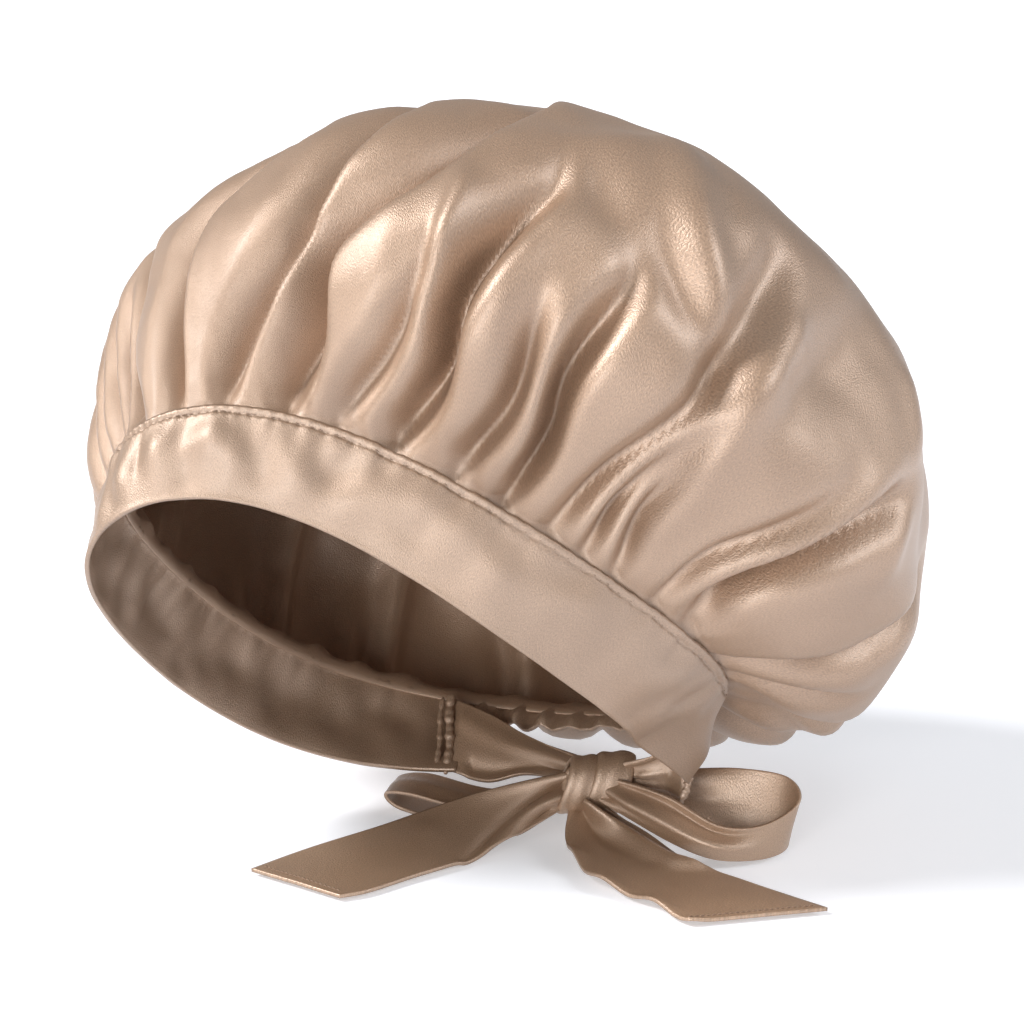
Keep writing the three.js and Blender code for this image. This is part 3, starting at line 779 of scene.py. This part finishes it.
def make_welt(name, start, end, radius, sway):
    """A rolled seam edge between two places, in mm, where a tie is sewn to the band."""
    start, end = np.array(start, float), np.array(end, float)
    run, turn = np.meshgrid(np.linspace(0, 1, 60), np.linspace(0, 2 * math.pi, 20, endpoint=False),
                            indexing="ij")
    along = (end - start) / np.linalg.norm(end - start)
    side = np.cross(along, (0.68, -0.68, 0.28))
    side /= np.linalg.norm(side)
    out = np.cross(side, along)
    middle = start + (end - start) * run[..., None] + side * (sway * np.sin(7 * run))[..., None]
    fat = radius * (1 + 0.18 * np.sin(26 * run) + 0.12 * np.sin(61 * run))
    fat *= np.clip(np.sin(math.pi * np.clip(run, 0.01, 0.99)) * 5, 0, 1) ** 0.5
    points = (middle + side * (fat * np.cos(turn))[..., None]
              + out * (0.8 * fat * np.sin(turn))[..., None])
    count, sides = run.shape
    faces = [(i * sides + j, i * sides + (j + 1) % sides, (i + 1) * sides + (j + 1) % sides,
              (i + 1) * sides + j) for i in range(count - 1) for j in range(sides)]
    faces.append(tuple(reversed(range(sides))))
    faces.append(tuple((count - 1) * sides + j for j in range(sides)))
    mesh = bpy.data.meshes.new(name)
    mesh.from_pydata((points.reshape(-1, 3) * MM).tolist(), [], faces)
    mesh.polygons.foreach_set("use_smooth", np.ones(len(mesh.polygons), dtype=bool))
    layer = mesh.uv_layers.new(name="cloth")
    lay = np.stack([run * np.linalg.norm(end - start), turn * radius], -1).reshape(-1, 2) * MM
    corner = np.empty(len(mesh.loops), dtype=np.int32)
    mesh.loops.foreach_get("vertex_index", corner)
    layer.data.foreach_set("uv", lay[corner].astype(np.float32).ravel())
    mesh.materials.append(band_satin)
    piece = bpy.data.objects.new(name, mesh)
    bpy.context.collection.objects.link(piece)
    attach(piece, "root")


def make_knot():
    """Two turns of the strap side by side about the gathered middle, the right one on top."""
    right = np.array([0.707, 0.707, 0.0])
    toward = np.array([0.707, -0.707, 0.0])
    up = np.array([0.0, 0.0, 1.0])
    walls = []
    # offset along the knot, half width, radius, lean of the turn: mm.
    for offset, half, radius, lean in ((-6.2, 6.0, 10.6, 3.2), (5.2, 7.2, 11.8, 3.4)):
        turn, v = np.meshgrid(np.linspace(0, 2 * math.pi, 120, endpoint=False),
                              np.linspace(-1, 1, 28), indexing="ij")
        creases = 0.22 * np.sin(6 * v + 1.5 * np.sin(turn)) + 0.15 * np.sin(3 * turn + 2 * v)
        r = radius - 1.5 * np.abs(v) ** 6 + creases
        shift = offset + half * v + lean * np.cos(turn)
        walls.append(KNOT + right * shift[..., None]
                     + up * (r * 1.04 * np.cos(turn))[..., None]
                     + toward * (r * 0.86 * np.sin(turn))[..., None])
    core_turn, v = np.meshgrid(np.linspace(0, 2 * math.pi, 90, endpoint=False),
                               np.linspace(-0.98, 0.98, 30), indexing="ij")
    r = 8.4 * (1 - np.abs(v) ** 2.5) ** 0.5 * (1 + 0.08 * np.sin(7 * core_turn))
    core = (KNOT + right * (13.0 * v)[..., None] + up * (r * np.cos(core_turn))[..., None]
            + toward * (r * 0.8 * np.sin(core_turn))[..., None])
    parts = [cloth_wall("knot_part", grid * MM, 1.3 * MM, tie_satin, True)
             for grid in walls + [core]]
    with bpy.context.temp_override(active_object=parts[0], selected_editable_objects=parts):
        bpy.ops.object.join()
    piece = parts[0]
    piece.name = piece.data.name = "knot_cloth"
    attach(piece, "root")
    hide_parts("bow_knot")


make_knot()
make_welt("far_seam_roll", (-43, 112, -50), (-27, 91, -76), 1.7, 0.5)
make_welt("far_seam_fold", (-46, 110, -52), (-31, 89, -75), 1.1, 0.4)
make_welt("near_seam_roll", (80, 117, -47), (77, 111, -71), 1.5, 0.8)
make_strap("tie_left_cloth", "tie_left", TIE_LEFT, tie_left_folds)
make_strap("tie_right_cloth", "tie_right", TIE_RIGHT, tie_right_folds)
make_strap("loop_left_cloth", "bow_loop_left", LOOP_LEFT, loop_left_folds)
make_strap("loop_right_cloth", "bow_loop_right", LOOP_RIGHT, loop_right_folds)
cloth, way = make_strap("tail_left_cloth", "tail_left", TAIL_LEFT, tail_left_folds)
hem_line("tail_left_stitches", cloth, way, 5)
cloth, way = make_strap("tail_right_cloth", "tail_right", TAIL_RIGHT, tail_right_folds)
hem_line("tail_right_stitches", cloth, way, 5)
